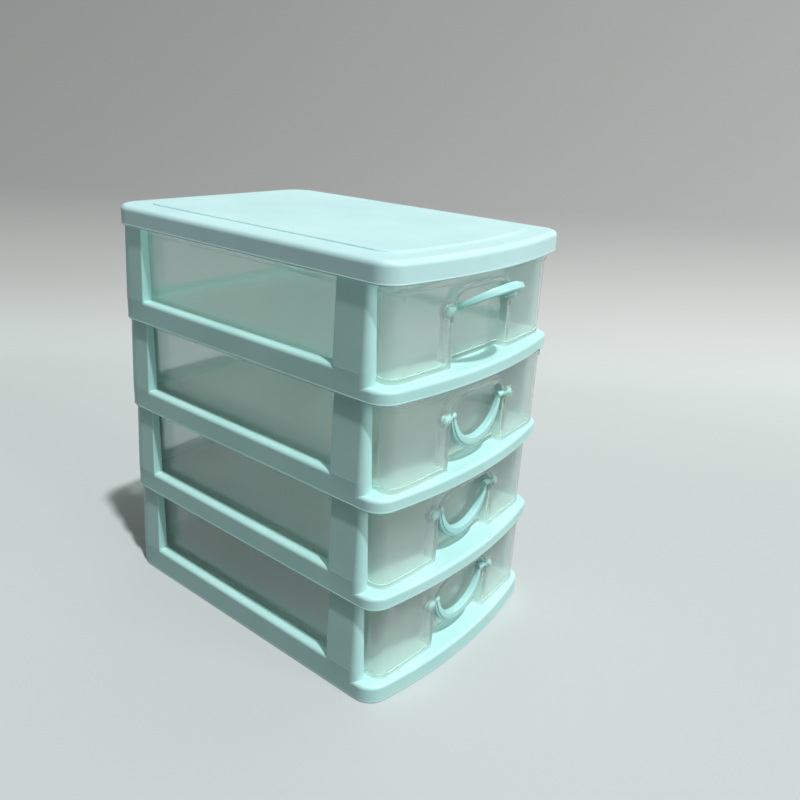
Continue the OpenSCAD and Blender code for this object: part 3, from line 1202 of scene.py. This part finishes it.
    def rim(self, shell: Shell) -> None:
        """The rim, from the top of the patch outside, over the edge and down inside.

        Args:
            shell: where it goes.
        """
        plan, t, top = self.plan(), self.wall_t, self.top_h
        under, out = top - self.rim_h, -self.rim_out
        foot, edge, inner = self.rim_rounds
        down, middle = self.under_rim
        section = [(0.0, self.patch_top), *eased((0.0, under), -foot, -down, middle)[::-1],
                   *eased((out, under), foot, foot), *eased((out, top), edge, -edge)[::-1],
                   *eased((t, top), -inner, -inner), (t, self.patch_top)]
        rows = [with_height((self.outline if inset < t / 2 else plan.loop)(inset), self.z + z)
                for inset, z in section]
        shell.grid(np.array(rows), close_v=True)

    def pads(self, shell: Shell) -> None:
        """The pads on the recess's side walls, and the bosses behind them.

        Args:
            shell: where they go.
        """
        plan, r = self.plan(), self.pad_r
        x0, x1 = self.recess_half_w - self.pad_t, self.recess_half_w + self.overlap
        far = plan.on_bow(x0, self.recess_d + self.overlap)[1]
        loops = []
        for z, draw in (*((self.pad_foot + up, draw) for up, draw in self.pad_foot_steps),
                        (self.recess_top - self.pad_drop, 0.0)):
            x, near = x0 + draw, plan.on_bow(x0, self.pad_setback + draw)[1]
            shape = arc((x + r, near + r), r, 270, 180, 3) + [(x, far), (x1, far), (x1, near)]
            loops.append(with_height(shape, self.z + z))
        shell.mirrored(np.array(loops))
        y, zc = self.front_y + self.pivot_setback, self.z + self.pivot_h
        rings = [(self.boss_start, self.boss_r), (self.boss_end - self.boss_round, self.boss_r),
                 (self.boss_end, self.boss_r - self.boss_round)]
        shell.mirrored(np.array([[(x, y + across, zc + up) for across, up in circle(r, 24)]
                                 for x, r in rings]))

    def build(self) -> None:
        """Makes the drawer and dresses it."""
        shell = Shell()
        d, t, foot = self.recess_d, self.wall_t, self.foot_round
        corner, corner_middle = self.recess_corner
        floor, floor_middle = self.floor_round
        near, far = self.inner_rounds
        outer = WallSide(
            0.0, self.foot_h, eased((0.0, 0.0), foot, foot),
            [*self.recess_edge, *eased((0.0, d), -corner, -corner, corner_middle)[::-1]])
        inner = WallSide(
            t, self.foot_h + self.floor_t, eased((0.0, 0.0), floor, floor, floor_middle),
            eased((t, t), near, near) + eased((t, d + t), -far, -far)[::-1])
        for side in (outer, inner):
            self.wall(shell, side)
        self.rim(shell)
        self.pads(shell)
        piece = shell.make(f"drawer_box_{self.n}")
        dress(piece, Finish.DRAWER, f"drawer_{self.n}", [f"drawer_{self.n}"])
        etch_floor(piece, self.z + self.foot_h + self.floor_t)


# ---------- Handles ----------

@dataclass(frozen=True)
class BailHandle:
    """A swinging bail: a crescent that thins to an ear and a pin on each side."""

    n: int
    drawer: DrawerBox
    raise_deg: float
    bail_r: float = 13.6
    hole_r: float = 12.1
    hole_rise: float = 2.0
    thickness: float = 2.6
    end_share: float = 0.55
    taper: float = 0.8
    edge_r: float = 0.3
    edge_middle: float = 0.1
    lip_w: float = 1.15
    lip_share: float = 0.33
    lip_depth: float = 0.6
    # The lip is less deep where the bail is narrower than this.
    full_w: float = 3.0
    lip_round: float = 0.08
    lip_slope: float = 0.05
    ear_r: float = 1.1
    pin_r: float = 0.9
    pin_start: float = 0.5
    pin_end: float = 18.2
    pin_round: float = 0.2
    steps: int = 56

    def inner_r(self, a: float) -> float:
        """Radius of the bail's inner edge.

        Args:
            a: the angle below the pivots' line.

        Returns:
            The radius.
        """
        s = self.hole_rise * math.sin(a)
        return -s + math.sqrt(s * s + self.hole_r ** 2 - self.hole_rise ** 2)

    def section(self, a: float) -> list[Pair]:
        """The bail's section, with a stepped lip along its outer edge.

        Args:
            a: the angle below the pivots' line.

        Returns:
            (radius, forward) pairs round it.
        """
        r0, r1, e, middle = self.inner_r(a), self.bail_r, self.edge_r, self.edge_middle
        share = self.end_share + (1 - self.end_share) * math.sin(a) ** self.taper
        half = self.thickness / 2 * share
        lip, s = r1 - min(self.lip_w, self.lip_share * (r1 - r0)), self.lip_round
        low = half - self.lip_depth * min(1.0, (r1 - r0) / self.full_w)
        return [*eased((r0, half), e, -e, middle)[::-1],
                (lip - s, half), (lip, half - s), (lip + self.lip_slope, low),
                *eased((r1, low), -e, -e, middle), *eased((r1, -half), -e, e, middle)[::-1],
                *eased((r0, -half), e, e, middle)]

    def build(self) -> None:
        """Makes the handle at its place and dresses it."""
        shell = Shell()
        rows = np.array([[(r * math.cos(a), -f, -r * math.sin(a)) for r, f in self.section(a)]
                         for a in np.linspace(0.0, math.pi, self.steps + 1)])
        shell.tube(rows)
        ear_in, ease = self.inner_r(0.0), self.pin_round
        ear = ((ear_in, self.ear_r - ease), (ear_in + ease, self.ear_r),
               (self.bail_r + ease / 2, self.ear_r), (self.bail_r + ease * 1.5, self.ear_r - ease))
        pin = ((ear_in + self.pin_start, self.pin_r), (self.pin_end - ease, self.pin_r),
               (self.pin_end, self.pin_r - ease))
        for part in (ear, pin):
            shell.mirrored(np.array([[(x, y, z) for y, z in circle(r, 28)] for x, r in part]))
        piece = shell.make(f"bail_handle_{self.n}")
        y = self.drawer.front_y + self.drawer.pivot_setback
        z = self.drawer.z + self.drawer.pivot_h
        turn = Matrix.Rotation(math.radians(-self.raise_deg), 4, "X")
        piece.data.transform(Matrix.Translation(Vector((0, y, z)) * MM) @ turn)
        dress(piece, Finish.HANDLE, f"handle_{self.n}", [f"handle_{self.n}"])


# ---------- Studio ----------

@dataclass(frozen=True)
class Studio:
    """The camera, the lights and the pale sweep that the object stands on, with painted light and
    shade in its colours.
    """

    camera_place: Triple = (-192.13, -176.66, 178.04)
    azimuth: float = -52.042
    elevation: float = 20.414
    roll: float = 3.089
    sensor_mm: float = 36.0
    focal_px: float = 774.64
    image_px: float = 800.0
    centre_px: Pair = (399.89, 385.28)
    # From here on in metres: where the sweep starts to rise, its bend, its reach and its height.
    sweep_foot: float = 0.23
    sweep_r: float = 0.11
    sweep_reach: float = 4.0
    sweep_h: float = 3.0
    # Its colours are the sheet's pale grey with painted light on it: they change from left to
    # right, away from the object, and up from its floor.
    across_span: Pair = (-0.45, 0.45)
    away_span: Pair = (0.06, 0.23)
    rise_span: Pair = (-0.014, 0.042)
    # The left and the right of the sheet: near the object, pale with painted light; at the foot of
    # its rise, a painted highlight; on its wall, painted shade.
    floor_painted_light_colours: tuple[str, str] = ("#C2CACA", "#B5BDBC")
    bend_painted_highlight_colours: tuple[str, str] = ("#BAC3C1", "#C0C7C6")
    wall_painted_shade_colours: tuple[str, str] = ("#AAABAA", "#B9BAB9")
    room_colour: str = "#A9ADAC"
    lamp_colour: str = "#FCFFF4"
    # Light that the floor throws back on the object, as a share of what the camera sees.
    bounce: float = 0.25
    mottle_scale: float = 900.0
    aim: Triple = (0.0, 0.0, 0.07)

    def camera(self) -> None:
        """The camera at the photograph's place."""
        az, el, ro = (math.radians(v) for v in (self.azimuth, self.elevation, self.roll))
        back = Vector((math.sin(az) * math.cos(el), -math.cos(az) * math.cos(el), math.sin(el)))
        level = Vector((math.cos(az), math.sin(az), 0))
        upright = back.cross(level)
        right = math.cos(ro) * level + math.sin(ro) * upright
        up = -math.sin(ro) * level + math.cos(ro) * upright
        data = bpy.data.cameras.new("studio_camera")
        data.sensor_width = self.sensor_mm
        data.lens = self.focal_px / self.image_px * self.sensor_mm
        data.shift_x = (self.image_px / 2 - self.centre_px[0]) / self.image_px
        data.shift_y = (self.centre_px[1] - self.image_px / 2) / self.image_px
        data.clip_start, data.clip_end = 0.01, 50
        camera = bpy.data.objects.new("studio_camera", data)
        rotation = Matrix((right, up, back)).transposed().to_4x4()
        camera.matrix_world = Matrix.Translation(Vector(self.camera_place) * MM) @ rotation
        bpy.context.scene.collection.objects.link(camera)
        bpy.context.scene.camera = camera

    @staticmethod
    def hang(lamp: bpy.types.Object, place: Vector, travel: Vector) -> None:
        """Puts a lamp in the scene.

        Args:
            lamp: the lamp.
            place: where it hangs.
            travel: the direction that its light goes in.
        """
        lamp.location = place
        lamp.rotation_euler = travel.to_track_quat("-Z", "Y").to_euler()
        bpy.context.scene.collection.objects.link(lamp)

    def sun(self, travel: Triple, level: float, softness_deg: float) -> None:
        """The main light, with parallel rays.

        Args:
            travel: the direction that its light goes in.
            level: how bright a white face turned to it renders, 1 being white.
            softness_deg: the angle that the light source covers.
        """
        data = bpy.data.lights.new("main_light", "SUN")
        data.energy, data.angle = math.pi * level, math.radians(softness_deg)
        self.hang(bpy.data.objects.new("main_light", data), -Vector(travel), Vector(travel))

    def softbox(self, name: str, place: Triple, size: float, level: float) -> None:
        """A round soft light turned to the object.

        Args:
            name: the lamp's name.
            place: where it stands, in metres.
            size: its width in metres.
            level: how bright a white face turned to it renders, 1 being white.
        """
        travel = Vector(self.aim) - Vector(place)
        data = bpy.data.lights.new(name, "AREA")
        data.shape, data.size = "DISK", size
        data.energy = level * (math.pi * travel.length) ** 2
        self.hang(bpy.data.objects.new(name, data), Vector(place), travel)

    def sweep(self) -> None:
        """Floor and backdrop in one curved sheet, which rises behind the object."""
        foot, r, reach = self.sweep_foot, self.sweep_r, self.sweep_reach
        path = [(-reach, 0.0), (-reach / 4, 0.0), (0.0, 0.0), (foot, 0.0),
                *((foot + x, r + y) for x, y in arc((0.0, 0.0), r, -86, -4, 21)),
                (foot + r + 0.02, r + 0.2), (foot + r + 0.1, self.sweep_h)]
        az = math.radians(self.azimuth)
        away = np.array([-math.sin(az), math.cos(az)])
        side = np.array([math.cos(az), math.sin(az)])
        rows = [[(*(away * d + side * s), h) for d, h in path]
                for s in np.linspace(-reach, reach, 9)]
        shell = Shell()
        shell.grid(np.array(rows) / MM)
        piece = shell.make("studio_sweep")
        piece.data.materials.append(self.sweep_with_painted_light(away, side))

    @staticmethod
    def seen(tree: Tree, *others: Socket) -> Socket:
        """Tells rays that are seen, straight, mirrored or through glass, from the others.

        Args:
            tree: the tree that asks.
            others: sockets that count as seen where they are 1.

        Returns:
            A socket that is 1 for what is seen.
        """
        path = add_node(tree, "ShaderNodeLightPath").outputs
        share = path["Is Camera Ray"]
        for other in (path["Is Glossy Ray"], path["Is Transmission Ray"], *others):
            share = add_node(tree, "ShaderNodeMath", {"operation": "MAXIMUM"}, {
                0: share, 1: other}).outputs["Value"]
        return share

    def sweep_with_painted_light(self, away: Points, side: Points) -> bpy.types.Material:
        """A matt sheet whose colours hold painted light: pale on the floor, a painted highlight at
        the foot of the rise, and painted shade that leaves the wall grey.

        Args:
            away: the level direction that leads away from the camera.
            side: the level direction to the camera's right.

        Returns:
            The material.
        """
        material, tree = blank_material("sweep_painted_light")
        where = add_node(tree, "ShaderNodeNewGeometry").outputs["Position"]
        rightward, outward = (
            add_node(tree, "ShaderNodeVectorMath", {"operation": "DOT_PRODUCT"}, {
                0: where, 1: (*direction, 0.0)}).outputs["Value"]
            for direction in (side, away))
        height = add_node(tree, "ShaderNodeSeparateXYZ", inputs={0: where}).outputs["Z"]
        across, far, rise = (
            add_node(tree, "ShaderNodeMapRange", {"interpolation_type": "SMOOTHSTEP"}, {
                "Value": value, "From Min": span[0], "From Max": span[1]}).outputs["Result"]
            for value, span in ((rightward, self.across_span), (outward, self.away_span),
                                (height, self.rise_span)))
        # The sheet's pale grey with painted light from left to right: near the object, the painted
        # highlight at the bend, and the painted shade of the wall.
        colour, bend, wall = (
            add_node(tree, "ShaderNodeMix", {"data_type": "RGBA"}, {
                "Factor": across, "A": linear(left), "B": linear(right)}).outputs["Result"]
            for left, right in (self.floor_painted_light_colours, self.bend_painted_highlight_colours, self.wall_painted_shade_colours))
        # Blends in the painted highlight towards the foot of the rise, then the painted shade up
        # the wall.
        for factor, beyond in ((far, bend), (rise, wall)):
            colour = add_node(tree, "ShaderNodeMix", {"data_type": "RGBA"}, {
                "Factor": factor, "A": colour, "B": beyond}).outputs["Result"]
        thrown = add_node(tree, "ShaderNodeMapRange", inputs={
            "Value": self.seen(tree, far), "To Min": self.bounce}).outputs["Result"]
        colour = add_node(tree, "ShaderNodeVectorMath", {"operation": "SCALE"}, {
            0: colour, "Scale": thrown}).outputs["Vector"]
        mottle = add_node(tree, "ShaderNodeTexNoise", inputs={
            "Vector": where, "Scale": self.mottle_scale})
        bump = add_node(tree, "ShaderNodeBump", inputs={
            "Height": mottle.outputs["Fac"], "Strength": 0.2, "Distance": 0.0001})
        shader = add_node(tree, "ShaderNodeBsdfPrincipled", inputs={
            "Base Color": colour, "Roughness": 0.6, "Specular IOR Level": 0.3,
            "Normal": bump.outputs["Normal"]})
        add_node(tree, "ShaderNodeOutputMaterial", inputs={"Surface": shader.outputs["BSDF"]})
        return material

    def world(self, light: float) -> None:
        """An even surround, which is seen as a pale grey room.

        Args:
            light: how bright it is as a lamp, 1 being white.
        """
        world = bpy.data.worlds.new("studio_world")
        world.use_nodes = True
        tree = world.node_tree
        tree.nodes.clear()
        lamp = add_node(tree, "ShaderNodeBackground", inputs={
            "Color": linear(self.lamp_colour), "Strength": light})
        room = add_node(tree, "ShaderNodeBackground", inputs={"Color": linear(self.room_colour)})
        both = add_node(tree, "ShaderNodeMixShader", inputs={
            0: self.seen(tree), 1: lamp.outputs["Background"], 2: room.outputs["Background"]})
        add_node(tree, "ShaderNodeOutputWorld", inputs={"Surface": both.outputs["Shader"]})
        bpy.context.scene.world = world

    def build(self) -> None:
        """Makes the studio."""
        self.camera()
        self.sweep()
        self.world(light=0.12)
        self.sun(travel=(0.115, 0.4, -1.0), level=0.97, softness_deg=2.5)
        self.softbox("front_fill", place=(0.1, -1.2, 0.6), size=0.8, level=0.36)
        bpy.context.scene.view_settings.view_transform = "Standard"


# ---------- The set ----------

@dataclass(frozen=True)
class MiniDrawers:
    """The whole set: how far each drawer is open and each handle raised, from the bottom up."""

    drawer_open: tuple[float, ...] = (1.1, 0.0, 1.8, 0.1)
    handle_raise: tuple[float, ...] = (0.0, 0.0, 0.0, 122.0)

    def build(self) -> None:
        """Makes every piece."""
        Lid().build()
        for n in range(1, CABINET.tiers + 1):
            TierFrame(n).build()
            drawer = DrawerBox(n, self.drawer_open[n - 1])
            drawer.build()
            BailHandle(n, drawer, self.handle_raise[n - 1]).build()


def main() -> None:
    """Builds the studio and the set."""
    logging.basicConfig(level=logging.INFO, format="%(name)s: %(message)s")
    Studio().build()
    MiniDrawers().build()


if __name__ == "__main__":
    main()
